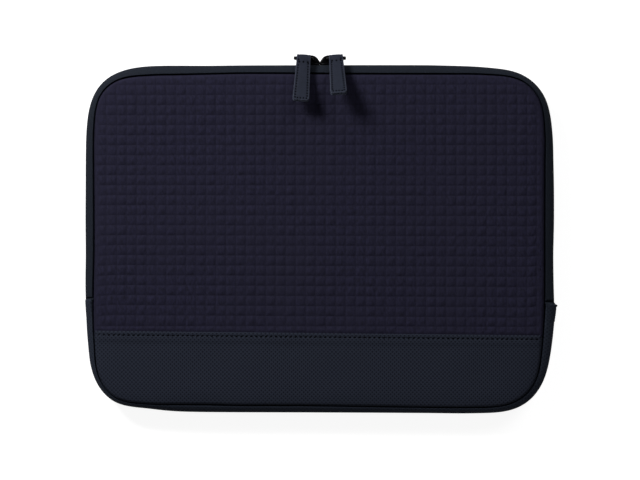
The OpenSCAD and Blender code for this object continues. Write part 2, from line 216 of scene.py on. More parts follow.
def laid_sheet(points, round_columns=False, round_rows=False):
    """A sheet through a table of points, with a UV map in metres along and across."""
    if round_columns:
        points = np.concatenate([points, points[:1]])
    if round_rows:
        points = np.concatenate([points, points[:, :1]], axis=1)
    along, across = (MM * np.concatenate([[0], np.cumsum(np.linalg.norm(
        np.diff(points, axis=way), axis=2).mean(1 - way))]) for way in (0, 1))
    sheet, placed = grid(*points.shape[:2])
    where = {}
    for v, i, j in placed:
        where[v] = (along[i], across[j])
        v.co = points[i, j]
    mapped(sheet, where.get)
    return merged(sheet, 0.001)


def carried(path, profile, side=1):
    """A profile of [inset, rise] pairs, carried along a path of points and normals."""
    profile = np.array(profile, float)
    rise = side * profile[:, 1]
    share = seam_share(rise) * np.clip(profile[:, 0] / SEAM_IN, 0, 1)
    inset = profile[None, :, 0] + share[None] * path[:, 4:5]
    table = np.empty((len(path), len(profile), 3))
    table[:, :, :2] = path[:, None, :2] - inset[:, :, None] * path[:, None, 2:4]
    table[:, :, 2] = MID_Z + rise
    return table


def cut_sheet(xs, ys, trim, side, slope=0.0):
    """A flat sheet on a grid of lines, trimmed to a line inside the outline."""
    sheet, placed = grid(len(xs), len(ys))
    for v, i, j in placed:
        v.co = (xs[i], ys[j] + slope * xs[i], 0)
    inner = {v for v, gap in zip(sheet.verts, spread(sheet, side)[0]) if gap > trim}
    bmesh.ops.delete(sheet, geom=[f for f in sheet.faces if not inner.intersection(f.verts)],
                     context="FACES")
    for v, gap, near in zip(sheet.verts, *inset_of(plan(sheet), side)):
        if gap < trim:
            v.co.x, v.co.y = inside_edge(near, trim, side)
    return merged(sheet, 0.08)


def plan(sheet):
    return np.array([v.co.xy for v in sheet.verts])


def spread(sheet, side=0):
    """How far inside the outline each of a sheet's points lies, and their X and Y."""
    place = plan(sheet)
    return inset_of(place, side)[0], *place.T


def extruded(sheet, edges):
    """Extrudes edges, and gives the new edges and their vertices."""
    made = bmesh.ops.extrude_edge_only(sheet, edges=edges)["geom"]
    verts = {g for g in made if isinstance(g, bmesh.types.BMVert)}
    return [g for g in made if isinstance(g, bmesh.types.BMEdge)
            and verts.issuperset(g.verts)], verts


def merged(sheet, dist):
    bmesh.ops.remove_doubles(sheet, verts=sheet.verts, dist=dist)
    return sheet


def outward(sheet):
    bmesh.ops.recalc_face_normals(sheet, faces=sheet.faces)


def facing(sheet, direction):
    """Turns a sheet's faces to one side."""
    outward(sheet)
    total = sum((f.normal * f.calc_area() for f in sheet.faces), Vector())
    if total.dot(Vector(direction)) < 0:
        bmesh.ops.reverse_faces(sheet, faces=sheet.faces)


def raised(sheet, heights):
    for v, height in zip(sheet.verts, heights):
        v.co.z = height


def sealed(sheet):
    """Fills the open ends of a shell, and turns its faces outward."""
    bmesh.ops.holes_fill(sheet, edges=[e for e in sheet.edges if e.is_boundary])
    outward(sheet)
    return sheet


def in_scene(name, data):
    """A new object in the scene."""
    made = bpy.data.objects.new(name, data)
    bpy.context.scene.collection.objects.link(made)
    return made


def mesh_of(name, sheet):
    """A mesh made of a bmesh, which is used up."""
    mesh = bpy.data.meshes.new(name)
    sheet.to_mesh(mesh)
    sheet.free()
    return mesh


def piece(name, sheet, material, body, stands_for=(), sharp=None):
    """Makes an object of a finished bmesh and gives it to its body."""
    bmesh.ops.scale(sheet, vec=(MM, MM, MM), verts=sheet.verts)
    mesh = mesh_of(name, sheet)
    mesh.shade_smooth()
    if sharp:
        mesh.set_sharp_from_angle(angle=math.radians(sharp))
    mesh.materials.append(material)
    made = in_scene(name, mesh)
    if body == "fold":
        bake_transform(made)
    else:
        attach(made, body)
    if stands_for:
        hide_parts(*stands_for)
    return made


# ---- materials ----

PER_MM = (1000, 1000, 1000)     # from a UV map in metres to patterns in millimetres
WAVE = 0.314                    # scale of a wave texture whose bands lie 1 apart
BLEND = {"out": 2, "data_type": "RGBA"}     # a mix of two colours


def paint(code):
    """Linear colour of an sRGB hex value."""
    parts = [int(code[k:k + 2], 16) / 255 for k in (0, 2, 4)]
    return [c / 12.92 if c <= 0.04045 else ((c + 0.055) / 1.055) ** 2.4 for c in parts] + [1]


def add(tree, kind, sockets=None, out=0, **settings):
    """Adds a node, sets its settings, and links its sockets or fills them, colours by their
    hex codes.  Gives one of its outputs, or all of them where out is None."""
    made = tree.nodes.new("ShaderNode" + kind)
    for key, value in settings.items():
        setattr(made, key, value)
    for key, value in (sockets or {}).items():
        if isinstance(value, bpy.types.NodeSocket):
            tree.links.new(value, made.inputs[key])
        else:
            made.inputs[key].default_value = paint(value) if isinstance(value, str) else value
    return made.outputs if out is None else made.outputs[out]


def blank(name, kind="materials"):
    """A new material or world, and its empty node tree."""
    made = getattr(bpy.data, kind).new(name)
    made.use_nodes = True
    made.node_tree.nodes.clear()
    return made, made.node_tree


def finished(material, tone, bump, roughness, specular, more=()):
    """Gives a material its shader: a colour, the height, strength and distance of a bump,
    roughness and specular level, and more sockets by their names."""
    tree, sockets = material.node_tree, dict(more)
    if bump:
        sockets["Normal"] = add(tree, "Bump", dict(zip(("Height", "Strength", "Distance"), bump)))
    shader = add(tree, "BsdfPrincipled", {"Base Color": tone, "Roughness": roughness,
                                          "Specular IOR Level": specular, **sockets})
    add(tree, "OutputMaterial", {"Surface": shader}, None)
    return material


def embossed_twill():
    """Polyester twill bonded to foam and pressed in a grid: matt, dark violet navy, blotched
    by slubs in the yarn, with a fine slanting rib and a painted shade that darkens the grooves."""
    material, tree = blank("embossed_twill")
    uv = add(tree, "UVMap")
    thread = add(tree, "Mapping", {0: uv, "Rotation": (0, 0, math.radians(58)), "Scale": PER_MM})
    upright = add(tree, "Mapping", {0: uv, "Scale": (1000, 450, 1000)})
    rib = add(tree, "TexWave", {"Vector": thread, "Scale": WAVE / 0.9, "Distortion": 0.6,
                                "Detail": 1.0, "Detail Scale": 2.0}, "Fac")
    slub = add(tree, "TexNoise", {"Vector": upright, "Scale": 0.62, "Detail": 3.0,
                                  "Roughness": 0.6})
    patch = add(tree, "MapRange", {0: slub, 1: 0.3, 2: 0.7})
    cloud = add(tree, "TexNoise", {"Vector": thread, "Scale": 0.012, "Detail": 2.0})
    cells = add(tree, "Mapping", {0: uv, "Location": (-LINE_X / PITCH_X, -LINE_Y / PITCH_Y, 0),
                                  "Scale": (1000 / PITCH_X, 1000 / PITCH_Y, 1)})
    to_groove = [add(tree, "Math", {0: way, 1: 0.5}, operation="PINGPONG")
                 for way in add(tree, "SeparateXYZ", {0: cells}, None)[:2]]
    nearest = add(tree, "Math", {0: to_groove[0], 1: to_groove[1]}, operation="MINIMUM")
    groove = add(tree, "MapRange", {0: nearest, 2: 0.06}, interpolation_type="SMOOTHSTEP")
    tone = add(tree, "Mix", {0: patch, 6: "14131c", 7: "232236"}, **BLEND)
    tone = add(tree, "Mix", {0: cloud, 6: tone, 7: "1e1d2a"}, **BLEND)
    # Painted shade: the grooves between the pressed cells are mixed towards a darker colour, as
    # shade in the recesses.
    tone = add(tree, "Mix", {0: groove, 6: "1a1925", 7: tone}, **BLEND)
    height = add(tree, "Math", {0: rib, 1: 0.35, 2: patch}, operation="MULTIPLY_ADD")
    return finished(material, tone, (height, 0.4, 0.0002), roughness=0.9, specular=0.04)


def dobby_cloth(name, light, dark, dot):
    """Coated dobby cloth: a matt navy weave with small sunk diamonds, 3 mm apart in rows
    that lie 1.5 mm apart and are offset by half."""
    material, tree = blank(name)
    uv = add(tree, "UVMap")
    turned = add(tree, "Mapping", {0: uv, "Rotation": (0, 0, math.radians(45)), "Scale": PER_MM})
    half = 1.5 / math.sqrt(2)   # half of the diamonds' pitch along a slanting row
    to_row = [add(tree, "Math", {0: way, 1: half}, operation="PINGPONG")
              for way in add(tree, "SeparateXYZ", {0: turned}, None)[:2]]
    edge = add(tree, "Math", {0: to_row[0], 1: to_row[1]}, operation="MAXIMUM")
    base = add(tree, "MapRange", {0: edge, 1: 0.38, 2: 0.72}, interpolation_type="SMOOTHSTEP")
    threads = add(tree, "Mapping", {0: uv, "Scale": PER_MM})
    grain = add(tree, "TexNoise", {"Vector": threads, "Scale": 2.2, "Detail": 3.0})
    warp, weft = (add(tree, "TexWave", {"Vector": threads, "Scale": WAVE / 0.5,
                                        "Distortion": 0.4}, "Fac", bands_direction=way)
                  for way in "XY")
    weave = add(tree, "Math", {0: warp, 1: weft}, operation="MULTIPLY")
    tone = add(tree, "Mix", {0: grain, 6: dark, 7: light}, **BLEND)
    tone = add(tree, "Mix", {0: base, 6: dot, 7: tone}, **BLEND)
    height = add(tree, "Math", {0: weave, 1: 0.25, 2: base}, operation="MULTIPLY_ADD")
    return finished(material, tone, (height, 0.5, 0.0002), roughness=0.8, specular=0.06)


def zip_tape_weave():
    """Woven polyester tape: herringbone ribs 0.9 mm apart with a speckle of lighter
    threads, a little smoother than the cloth, and a painted shade that darkens it towards the
    coil."""
    material, tree = blank("zip_tape_weave")
    threads = add(tree, "Mapping", {0: add(tree, "UVMap"), "Scale": PER_MM})
    along, across, _ = add(tree, "SeparateXYZ", {0: threads}, None)
    zigzag = add(tree, "Math", {0: across, 1: 1.4}, operation="PINGPONG")
    slanted = add(tree, "Math", {0: zigzag, 1: along}, operation="ADD")
    rib = add(tree, "Math", {0: slanted, 1: 0.45}, operation="PINGPONG")
    speckle = add(tree, "TexNoise", {"Vector": threads, "Scale": 1.3, "Detail": 5.0,
                                     "Roughness": 0.7})
    speckle = add(tree, "MapRange", {0: speckle, 1: 0.35, 2: 0.7})
    tone = add(tree, "Mix", {0: speckle, 6: "0b0e13", 7: "1f242e"}, **BLEND)
    # Painted shade: within 4.5 to 7.5 mm of the mid plane, beside the coil, the tape's colour is
    # mixed towards near black, as the coil's shadow.
    level = add(tree, "SeparateXYZ", {0: add(tree, "TexCoord", None, "Object")}, 2)
    rise = add(tree, "Math", {0: level, 1: MID_Z * MM}, operation="SUBTRACT")
    rise = add(tree, "Math", {0: rise}, operation="ABSOLUTE")
    near = add(tree, "MapRange", {0: rise, 1: 0.0045, 2: 0.0075, 3: 0.45, 4: 0.0},
               interpolation_type="SMOOTHSTEP")
    tone = add(tree, "Mix", {0: near, 6: tone, 7: "07090d"}, **BLEND)
    height = add(tree, "Math", {0: rib, 1: 1.6, 2: speckle}, operation="MULTIPLY_ADD")
    return finished(material, tone, (height, 0.5, 0.00018), roughness=0.75, specular=0.07)


def brushed_nylon():
    """Brushed nylon lining: soft, plain, with a slight pile that lightens at grazing sight."""
    material, tree = blank("brushed_nylon")
    threads = add(tree, "Mapping", {0: add(tree, "UVMap"), "Scale": PER_MM})
    pile = add(tree, "TexNoise", {"Vector": threads, "Scale": 1.6, "Detail": 6.0})
    rub = add(tree, "TexNoise", {"Vector": threads, "Scale": 0.02, "Detail": 2.0})
    worn = add(tree, "Math", {0: pile, 1: rub}, operation="MULTIPLY")
    tone = add(tree, "Mix", {0: worn, 6: "222839", 7: "3d4862"}, **BLEND)
    return finished(material, tone, (pile, 0.4, 0.0002), roughness=0.9, specular=0.2,
                    more={"Sheen Weight": 0.35, "Sheen Roughness": 0.4})


def pad_foam():
    """Closed-cell polyethylene foam: grey, with small open pores where it was cut."""
    material, tree = blank("pad_foam")
    cells = add(tree, "TexVoronoi", {"Vector": add(tree, "UVMap"), "Scale": 900.0})
    tone = add(tree, "Mix", {0: cells, 6: "3b3e46", 7: "575b65"}, **BLEND)
    return finished(material, tone, (cells, 0.5, 0.0003), roughness=0.95, specular=0.2)


def binding_weave():
    """Grosgrain binding: fine ribs across the tape, folded over the raw seam edges."""
    material, tree = blank("binding_weave")
    threads = add(tree, "Mapping", {0: add(tree, "UVMap"), "Scale": PER_MM})
    rib = add(tree, "TexWave", {"Vector": threads, "Scale": WAVE / 0.8, "Distortion": 0.2}, "Fac")
    tone = add(tree, "Mix", {0: rib, 6: "171b25", 7: "262c39"}, **BLEND)
    return finished(material, tone, (rib, 0.5, 0.00015), roughness=0.7, specular=0.35,
                    more={"Sheen Weight": 0.1})


def coil_nylon():
    """Polyester monofilament: dark navy, drawn smooth and slightly glossy."""
    material, tree = blank("coil_nylon")
    streak = add(tree, "TexNoise", {"Vector": add(tree, "UVMap"), "Scale": 300.0, "Detail": 2.0})
    tone = add(tree, "Mix", {0: streak, 6: "15171f", 7: "242833"}, **BLEND)
    return finished(material, tone, None, roughness=0.32, specular=0.5)


def black_lacquer():
    """Die-cast zinc and steel wire under black stoved lacquer: near black, satin gloss,
    a trace of orange peel and rubbed edges."""
    material, tree = blank("black_lacquer")
    place = add(tree, "TexCoord", None, "Object")
    peel = add(tree, "TexNoise", {"Vector": place, "Scale": 1400.0, "Detail": 2.0})
    rub = add(tree, "TexNoise", {"Vector": place, "Scale": 260.0, "Detail": 4.0})
    rub = add(tree, "MapRange", {0: rub, 1: 0.6, 2: 0.75})
    edges = add(tree, "NewGeometry", None, "Pointiness")
    edges = add(tree, "MapRange", {0: edges, 1: 0.53, 2: 0.6})
    wear = add(tree, "Math", {0: rub, 1: edges}, operation="MULTIPLY")
    tone = add(tree, "Mix", {0: wear, 6: "040405", 7: "1a1a1d"}, **BLEND)
    return finished(material, tone, (peel, 0.12, 0.0001), roughness=0.3, specular=0.03)


def pull_leather(name, low, high):
    """Split leather with a pressed pebble grain and a satin finish."""
    material, tree = blank(name)
    place = add(tree, "TexCoord", None, "Object")
    pebble = add(tree, "TexVoronoi", {"Vector": place, "Scale": 1300.0}, feature="SMOOTH_F1")
    tint = add(tree, "TexNoise", {"Vector": place, "Scale": 350.0, "Detail": 3.0})
    tone = add(tree, "Mix", {0: tint, 6: low, 7: high}, **BLEND)
    return finished(material, tone, (pebble, 0.45, 0.0002), roughness=0.7, specular=0.08)


def sewing_thread(name, low, high):
    """Bonded polyester thread: two plies twisted, which shows as slanting bands."""
    material, tree = blank(name)
    place = add(tree, "TexCoord", None, "Object")
    ply = add(tree, "TexWave", {"Vector": place, "Scale": 900.0, "Distortion": 0.5}, "Fac",
              bands_direction="DIAGONAL")
    tone = add(tree, "Mix", {0: ply, 6: low, 7: high}, **BLEND)
    return finished(material, tone, (ply, 0.4, 0.0001), roughness=0.8, specular=0.02)


EMBOSSED = embossed_twill()
DOBBY = dobby_cloth("dobby_panel", "252934", "1c202a", "11131b")
WALL_DOBBY = dobby_cloth("dobby_wall", "252a34", "1c2029", "161922")
TAPE = zip_tape_weave()
LINING = brushed_nylon()
FOAM = pad_foam()
BINDING = binding_weave()
COIL = coil_nylon()
LACQUER = black_lacquer()
LEATHER = pull_leather("pull_leather", "161922", "1f232f")
CUT_LEATHER = pull_leather("cut_leather_edge", "252832", "333743")
DARK_THREAD = sewing_thread("dark_thread", "030305", "08090d")


# ---- panels ----

def crown_height(inset):
    u = np.clip((inset - SEAM_IN) / CROWN_W, 0, 1)
    return SEAM_RISE + SEAM_DROP * (1 - (1 - u) ** CROWN_POWER) ** (1 / CROWN_POWER)


TRIM = SEAM_IN + 2.7            # panels are gridded inside this line
# From that line down a panel's rolled edge into the seam, as insets and rises.
ROLLED_EDGE = [(SEAM_IN + d, crown_height(SEAM_IN + d) - 1.3 * (1 - (d - 0.55) / 2.15) ** 3)
               for d in (2.1, 1.6, 1.2, 0.9, 0.7, 0.55)]
ROLLED_EDGE += [(SEAM_IN + d, rise) for d, rise in (
    (0.4, 8.3), (0.15, 7.0), (0.06, 5.6), (0.06, ALLOWANCE_FOOT), (0.65, ALLOWANCE_FOOT),
    (0.65, 6.8))]


def seamed(sheet, side):
    """Carries a panel's trimmed edge down into the seam, maps the cloth and faces it out."""
    gaps = dict(zip(sheet.verts, spread(sheet, side)[0]))
    edges = [e for e in sheet.edges
             if e.is_boundary and all(gaps[v] < TRIM + 0.3 for v in e.verts)]
    for inset, rise in ROLLED_EDGE:
        edges, verts = extruded(sheet, edges)
        for v in verts:
            near = edge_tree.find((v.co.x, v.co.y, 0))[1]
            v.co = (*inside_edge(near, inset, side, rise), MID_Z + side * rise)
    merged(sheet, 0.02)
    mapped(sheet, lambda v: v.co.xy * MM)
    facing(sheet, (0, 0, side))


RELIEF = 0.74                   # height of the pressed cells


def pillow(x, y):
    """Height of the pressed cells: low, uneven four-sided pyramids with softened ridges,
    parted by shallower grooves down than across."""
    column, row = (x - LINE_X) / PITCH_X, (y - LINE_Y) / PITCH_Y
    draw = np.random.default_rng(5)
    cell = np.floor(column).astype(int) % 64, np.floor(row).astype(int) % 64
    swell, peak_u, peak_v = (draw.uniform(low, high, (64, 64))[cell] for low, high in (
        (0.75, 1.25), (-0.25, 0.2), (-0.1, 0.25)))
    u, v = (np.where(t > peak, np.clip((t - peak) / (1 - peak), 0, 1) ** high,
                     np.clip((peak - t) / (1 + peak), 0, 1) ** low)
            for t, peak, low, high in ((2 * (column % 1) - 1, peak_u, 1.0, 1.3),
                                       (2 * (row % 1) - 1, peak_v, 1.35, 1.0)))
    ridge = ((0.94 * u) ** 5 + v ** 5) ** 0.2
    return swell * (1 - np.minimum(ridge, 1) ** 1.6)


def off_square(sheet):
    """Lets the pressed grid run up to 1 mm off square, as the cloth was laid and sewn."""
    gaps, x, y = spread(sheet, 1)
    loose = (ease(gaps, SEAM_IN + 2, SEAM_IN + 15)
             * ease(y - BAND_SLOPE * x - BAND_Y, 0.5, 14))
    u, v = x / 175, y / 129
    aside = loose * (-0.34 - 0.43 * u + 1.29 * u * u + 0.11 * v + 0.07 * u * v)
    ahead = loose * (-0.06 - 0.58 * u - 0.11 * u * u - 0.08 * v + 1.15 * u * v)
    for vert, dx, dy in zip(sheet.verts, aside, ahead):
        vert.co.x += dx
        vert.co.y += dy


def embossed_front():
    """The embossed front, one cloth over the flap, the fold and the strip below it."""
    steps = [0, 0.06, 0.16, 0.32, 0.5, 0.68, 0.84, 0.94]    # close beside the grooves
    xs = LINE_X + PITCH_X * np.add.outer(np.arange(-24, 25), steps).ravel()
    ys = LINE_Y + PITCH_Y * np.add.outer(np.arange(-11, 18), steps).ravel()
    sheet = cut_sheet(xs, ys, TRIM, 1)
    raw_edge = BAND_Y - 3.0                                 # under the lower panel
    bmesh.ops.bisect_plane(sheet, geom=[*sheet.verts, *sheet.edges, *sheet.faces],
                           plane_co=(0, raw_edge, 0), plane_no=(-BAND_SLOPE, 1, 0),
                           clear_inner=True, dist=1e-4)
    gaps, x, y = spread(sheet, 1)
    over_band = y - BAND_SLOPE * x - BAND_Y
    mask = ease(gaps, SEAM_IN + 1.2, SEAM_IN + 7.5) * ease(over_band, 0.3, 3.0)
    raised(sheet, MID_Z + crown_height(gaps) + mask * (RELIEF * pillow(x, y) - 0.75 * RELIEF)
           + (0.14 * waviness(x, y, 70, 3) + 0.035 * waviness(x, y, 5.5, 8)) * mask
           - 0.75 * (1 - ease(over_band, 0.1, 1.4)))
    seamed(sheet, 1)
    off_square(sheet)
    cloth = piece("front_cloth", sheet, EMBOSSED, "fold",
                  ("front_skin_flap", "front_skin_base"))


def lower_front():
    """The lower panel, with its top edge folded under and topstitched."""
    drops = [0.12, 0.3, 0.6, 1.0, 1.5, 2.0, 2.4, 2.8, 3.2, 3.6, 4.2, 5.0, 6.0, 7.0, 8.0, 9.5]
    drops += list(np.arange(11, 66, 1.6))
    sheet = cut_sheet(np.arange(-174, 174.1, 1.2), BAND_Y - np.array(drops[::-1]), TRIM, 1,
                      BAND_SLOPE)
    gaps, x, y = spread(sheet, 1)
    drop = BAND_Y + BAND_SLOPE * x - y
    proud = 0.42 * (1 - ease(drop, 6, 9)) * ease(drop, -0.4, 0.9)
    sewn = 0.28 * np.exp(-((drop - STITCH_DROP) / 0.55) ** 2)
    raised(sheet, MID_Z + crown_height(gaps) + proud - sewn
           + 0.16 * waviness(x, y, 60, 4) * ease(gaps, 9, 20) * ease(drop, 4, 14) - 0.05)
    fold = [e for e in sheet.edges if e.is_boundary and all(
        v.co.y > BAND_Y + BAND_SLOPE * v.co.x - 0.2 for v in e.verts)]
    for forward, down in [(0.12, 0.16), (0.1, 0.3), (-1.5, 0.1)]:
        fold, verts = extruded(sheet, fold)
        for v in verts:
            v.co.y = BAND_Y + BAND_SLOPE * v.co.x + forward
            v.co.z -= down
    seamed(sheet, 1)
    cloth = piece("lower_cloth", sheet, DOBBY, "back_shell", ("lower_panel",))


def back_panel():
    """The plain back, flat where it lies on the table and rolled up at the seams."""
    sheet = cut_sheet(np.arange(-174, 174.1, 2.9), np.arange(-129, 129.1, 2.9), TRIM, -1)
    raised(sheet, MID_Z - crown_height(spread(sheet)[0]))
    seamed(sheet, -1)
    cloth = piece("back_cloth", sheet, DOBBY, "back_shell", ("back_skin",))


def layer(name, cell, outer, inner, side, material, body, stands_for):
    """A pad or lining: two like sheets, one over the other, closed at their edge.
    Its outer and inner faces are given as rises over the sleeve's mid plane."""
    sheet = cut_sheet(np.arange(-172, 172.1, cell), np.arange(-128, 128.1, cell),
                      SEAM_IN + 1.7, side)
    place = spread(sheet, side)
    rises = inner(*place)
    raised(sheet, MID_Z + side * outer(*place))
    twin = bmesh.ops.duplicate(sheet, geom=[*sheet.verts, *sheet.edges, *sheet.faces])
    moved = [g for g in twin["geom"] if isinstance(g, bmesh.types.BMVert)]
    for v, rise in zip(moved, rises):
        v.co.z = MID_Z + side * rise
    bmesh.ops.bridge_loops(sheet, edges=[e for e in sheet.edges if e.is_boundary])
    mapped(sheet, lambda v: v.co.xy * MM)
    outward(sheet)
    return piece(name, sheet, material, body, stands_for, sharp=50)


def pads_and_linings():
    def lining_face(level, seed):
        return lambda gap, x, y: level + 0.1 * waviness(x, y, 45, seed) * ease(gap, 9, 20)

    for side, place, body, foams, linings in (
            (1, "front", "fold", ("front_foam_flap", "front_foam_base"),
             ("front_lining_flap", "front_lining_base")),
            (-1, "back", "back_shell", ("back_foam",), ("back_lining",))):
        pad = layer(place + "_pad", 4.0, lambda gap, x, y: crown_height(gap) - 2.0,
                    lambda gap, x, y: np.full_like(gap, 7.95), side, FOAM, body, foams)
        layer(place + "_lining_cloth", 2.6, lining_face(7.85, 21), lining_face(7.3, 22), side,
              LINING, body, linings)


# ---- side wall ----

def wall_line(depth, from_rise=SLIT_HALF):
    """Side wall from its flat middle to the crease at the seam, at a depth in its face."""
    line = [(depth, rise) for rise in (from_rise, 2.0, 3.5) if rise >= from_rise]
    for angle in np.linspace(0, 76, 12):
        a = math.radians(angle)
        line.append((SEAM_IN - (SEAM_IN - depth) * math.cos(a) ** 1.35,
                     FLAT_HALF + (SEAM_RISE - FLAT_HALF - depth) * math.sin(a) ** 1.35))
    return line


def mirrored(line):
    """The same line on the rear side of the mid plane."""
    return [(inset, -rise) for inset, rise in line]


def wall_section(from_rise=SLIT_HALF):
    """Closed section of one half of the wall's cloth, with its crease and seam allowance."""
    crease = [(SEAM_IN + d, rise) for d, rise in (
        (-0.8, SEAM_RISE - 0.4), (-0.5, SEAM_RISE - 0.95), (-0.2, SEAM_RISE - 1.9),
        (-0.06, SEAM_RISE - 3.0), (-0.02, ALLOWANCE_FOOT), (-TAPE_T, ALLOWANCE_FOOT),
        (-TAPE_T, SEAM_RISE - TAPE_T - 2.4))]
    return wall_line(0.0, from_rise) + crease + wall_line(TAPE_T, from_rise)[-3::-1]


def zip_tapes():
    for side, name, body in ZIP_HALVES:
        path = edge_between(FOLD_Y - 3.5, BODY_H, 0.6)
        table = carried(path, wall_section(), side)
        over = table[:, :, 1] - wall_top(table[:, :, 0])    # pressed in beside the cuffs
        dip = 1.05 * np.exp(-((over - 0.8) / 0.8) ** 2) * ease(
            side * (table[:, :, 2] - MID_Z), 5, 7)
        table[:, :, :2] -= dip[:, :, None] * path[:, None, 2:4]
        table[:, :, 2] -= side * dip
        piece("zip_tape_" + name + "_cloth", sealed(laid_sheet(table, round_rows=True)), TAPE,
              body, ("zip_tape_" + name,), sharp=55)


def zip_coils():
    """Monofilament wound in flat turns and sewn to the inner face of the tape."""
    turn, wire, steps = 1.27, 0.3, 10
    for side, name, body in ZIP_HALVES:
        path = edge_between(FOLD_Y + 3.4, BODY_H, turn / steps)
        angle = 2 * math.pi * np.arange(len(path)) / steps + (math.pi if side < 0 else 0)
        inset = 1.9 + 0.85 * np.cos(angle)
        rise = 1.65 + 1.05 * np.sin(angle)
        spine = np.column_stack([path[:, :2] - inset[:, None] * path[:, 2:4],
                                 MID_Z + side * rise])
        piece("zip_coil_" + name + "_turns",
              sealed(laid_sheet(round_wire(spine, wire, 5), round_rows=True)), COIL, body,
              ("zip_coil_" + name,))


def round_wire(spine, radius, sides, closed=False):
    """Points of a round wire along a spine."""
    if closed:
        tangent = unit(np.roll(spine, -1, 0) - np.roll(spine, 1, 0))
    else:
        tangent = unit(np.gradient(spine, axis=0))
    level = unit(np.cross(tangent, np.array([0.31, 0.23, 0.92])))
    upright = np.cross(tangent, level)
    angle = 2 * math.pi * np.arange(sides) / sides
    return (spine[:, None] + radius * (np.cos(angle)[None, :, None] * level[:, None]
                                       + np.sin(angle)[None, :, None] * upright[:, None]))


def lower_wall():
    """The plain wall below the zip, with its foam and lining."""
    path = edge_between(-BODY_H, FOLD_Y - 0.2, 1.1)
    path = wall_flare(path[path[:, 1] < wall_top(path[:, 0]) + 0.01])
    half = wall_section(2.0)
    first = len(wall_line(0.0, 2.0)) + 3    # the section starts here, on its rear allowance
    cloth = mirrored(half[first::-1]) + half + mirrored(half[:first:-1])
    limit = SEAM_IN - 1.2

    def filling(outer, inner):
        outer, inner = ([q for q in wall_line(depth, 0.7) if q[0] < limit]
                        for depth in (outer, inner))
        return mirrored(outer[::-1]) + outer + inner[::-1] + mirrored(inner)

    for name, section, material, slot, node in (
            ("lower_wall_cloth", cloth, WALL_DOBBY, "dobby_cloth", "lower_wall"),
            ("lower_wall_pad", filling(0.75, 2.35), FOAM, "foam", "lower_wall_foam"),
            ("lower_wall_lining_cloth", filling(2.4, 3.0), LINING, "lining_cloth",
             "lower_wall_lining")):
        sheet = sealed(laid_sheet(carried(path, section), round_rows=True))
        piece(name, sheet, material, "back_shell", (node,), sharp=55)


def wall_top(x):
    """Height of the wall's end, which was sewn in a little lower on the right."""
    return FOLD_Y - 0.2 - 2.5 * (x > 0)


def wall_flare(path):
    """The wall's end stands out past the zip on the right side."""
    drop = wall_top(path[:, 0]) - path[:, 1]
    out = 0.65 * (path[:, 0] > 0) * ease(drop, -1, 0) * (1 - ease(drop, 2, 20))
    path[:, :2] += out[:, None] * path[:, 2:4]
    return path


def zip_cuffs():
    """The wall's cloth folded back at its two ends, over the ends of the zip."""
    line = [q for q in wall_line(-0.06, 0.7) if q[0] < SEAM_IN - 0.3]
    line = np.array(mirrored(line[::-1]) + line)
    drops = np.array([0.0, 0.06, 0.2, 0.42, 0.7, 1.0, 1.4, 2.2, 3.4, 4.6, 6.0, 8.0, 10.5, 13])
    thick = 0.85 * quarter_round(drops, 1.2) * (1 - 0.9 * ease(drops, 1.2, 13))
    parts = []
    for hand in (-1, 1):
        top = float(wall_top(hand))
        near = [edge_tree.find((hand * BODY_W / 2, top - drop, 0))[1] for drop in drops]
        path = wall_flare(EDGE[near].copy())
        path[:, 1] = top - drops
        outer = carried(path, line)
        outer[:, :, 1] += (1.2 * (line[:, 0] / SEAM_IN - 0.9) * ease(line[:, 1], -4, 4)
                           * (hand > 0))                    # the right cuff leans
        nub = 1.0 * np.exp(-((line[:, 1] - 5) / 2.5) ** 2)[:, None] * (hand > 0)
        full = 1 if hand > 0 else (0.3 + 0.7 * ease(np.abs(line[:, 1]), 4, 8))[:, None]
        for k, t in enumerate(thick):
            outer[k, :, :2] += t * full * path[k, 2:4] * (1 + nub * (drops[k] < 2))
            outer[k, :, 2] += t * 0.5 * ease(np.abs(line[:, 1]), 5, 9) * np.sign(line[:, 1])
        part = laid_sheet(outer)
        facing(part, (hand, 0, 0))
        parts.append(part)
    piece("zip_end_cuff_cloth", joined(parts, False), WALL_DOBBY, "back_shell",
          ("zip_end_cuffs",))


def bindings():
    """Grosgrain folded over the raw edges of both seams, inside the sleeve."""
    foot, top, t = ALLOWANCE_FOOT - 0.05, ALLOWANCE_FOOT + 3.0, 0.4
    left, right = SEAM_IN - TAPE_T - 0.06, SEAM_IN + 0.75
    section = [(left - t, foot - t * 0.3), (left - t, top), (left, top), (left, foot),
               (right, foot), (right, top), (right + t, top), (right + t, foot - t * 0.3),
               (right + t * 0.3, foot - t), (left - t * 0.3, foot - t)]
    round_edge = evenly(EDGE, 2.4)[:-1]
    for (side, name, body), nodes in zip(ZIP_HALVES, (("binding_flap", "binding_base"),
                                                      ("binding_rear",))):
        sheet = laid_sheet(carried(round_edge, section, side), True, True)
        outward(sheet)
        piece("binding_" + name + "_tape", sheet, BINDING, body, nodes, sharp=50)


# ---- sliders, rings and pulls ----

SLIDER_X, TOP_Y = 7.25, BODY_H / 2
LEG_X, LEG_Y = 5.9, TOP_Y + 4.5     # a ring's leg, in its bridge's eye
RING_LIFT = math.radians(3.6)
RING_W, RING_LEN, WIRE_R = 12.3, 12.6, 0.95
BAR_REACH = 2.6                 # of a ring, behind the sleeve's mid plane
BAR_Z = MID_Z - BAR_REACH + RING_LEN


def plate_line(length, nose, tail):
    """Outline of a slider's plate: a rounded shield with its nose to +X."""
    angle = np.linspace(0, 2 * math.pi, 56, endpoint=False)
    c, s = np.cos(angle), np.sin(angle)
    x = length / 2 * np.sign(c) * np.abs(c) ** 0.55
    width = tail + (nose - tail) * (x / length + 0.5)
    return np.stack([x, width * np.sign(s) * np.abs(s) ** 0.6], 1)


